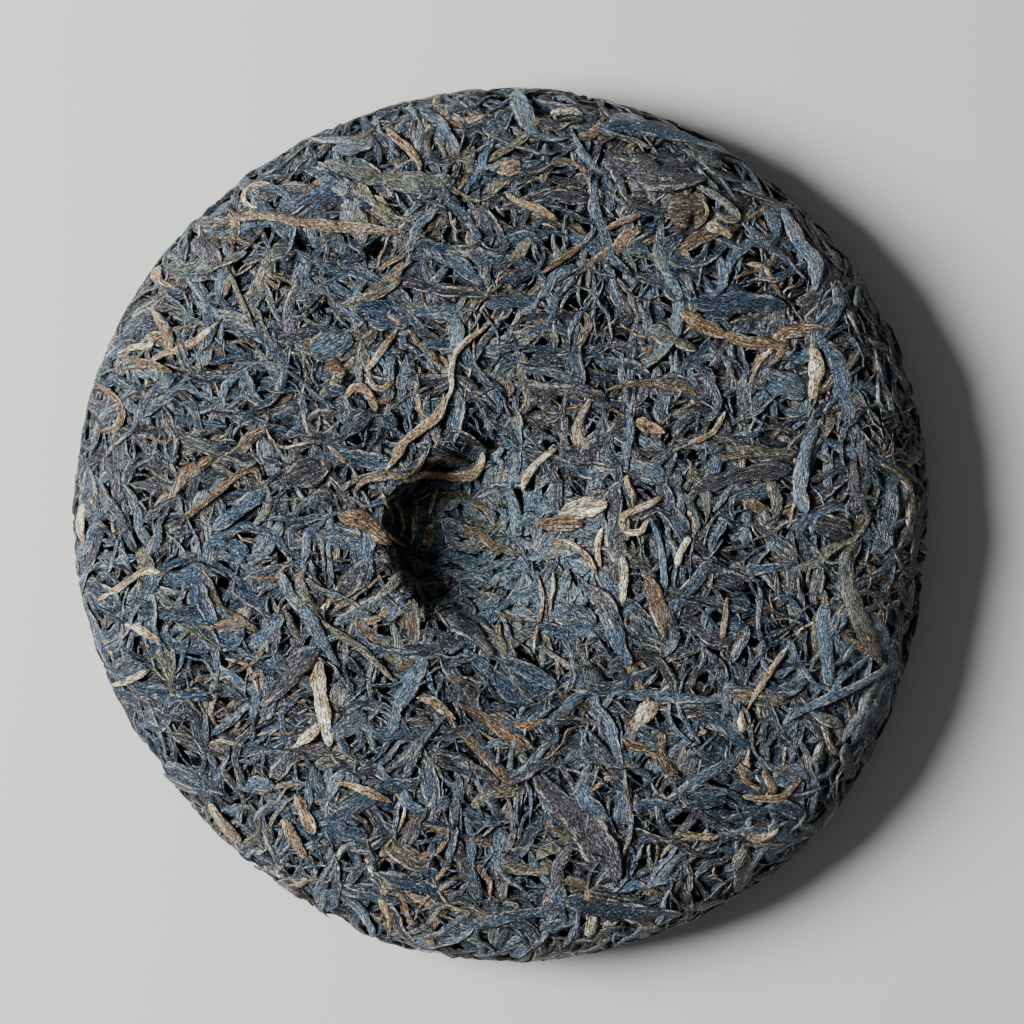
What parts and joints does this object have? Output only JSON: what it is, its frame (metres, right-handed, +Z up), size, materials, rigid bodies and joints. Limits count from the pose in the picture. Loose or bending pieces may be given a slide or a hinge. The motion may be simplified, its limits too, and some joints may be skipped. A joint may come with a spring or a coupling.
{
  "type": "pu erh tea cake",
  "caption": "Round pressed cake of dried tea leaf, lying on its domed face, with the knot hollow of the pressing bag in its upper face",
  "frame": {"origin": "middle of the base of the bounding box, on the flat spot that the cake rests on", "axes": "+Z up through the cake's thickness, out of the hollowed face; +X to the right and +Y away in the view from above"},
  "size_m": [0.1968, 0.2, 0.0261],
  "materials": {
    "tea_leaf": "satin"
  },
  "bodies": {
    "root": {"tea_cake": "tea_leaf"}
  },
  "joints": []
}
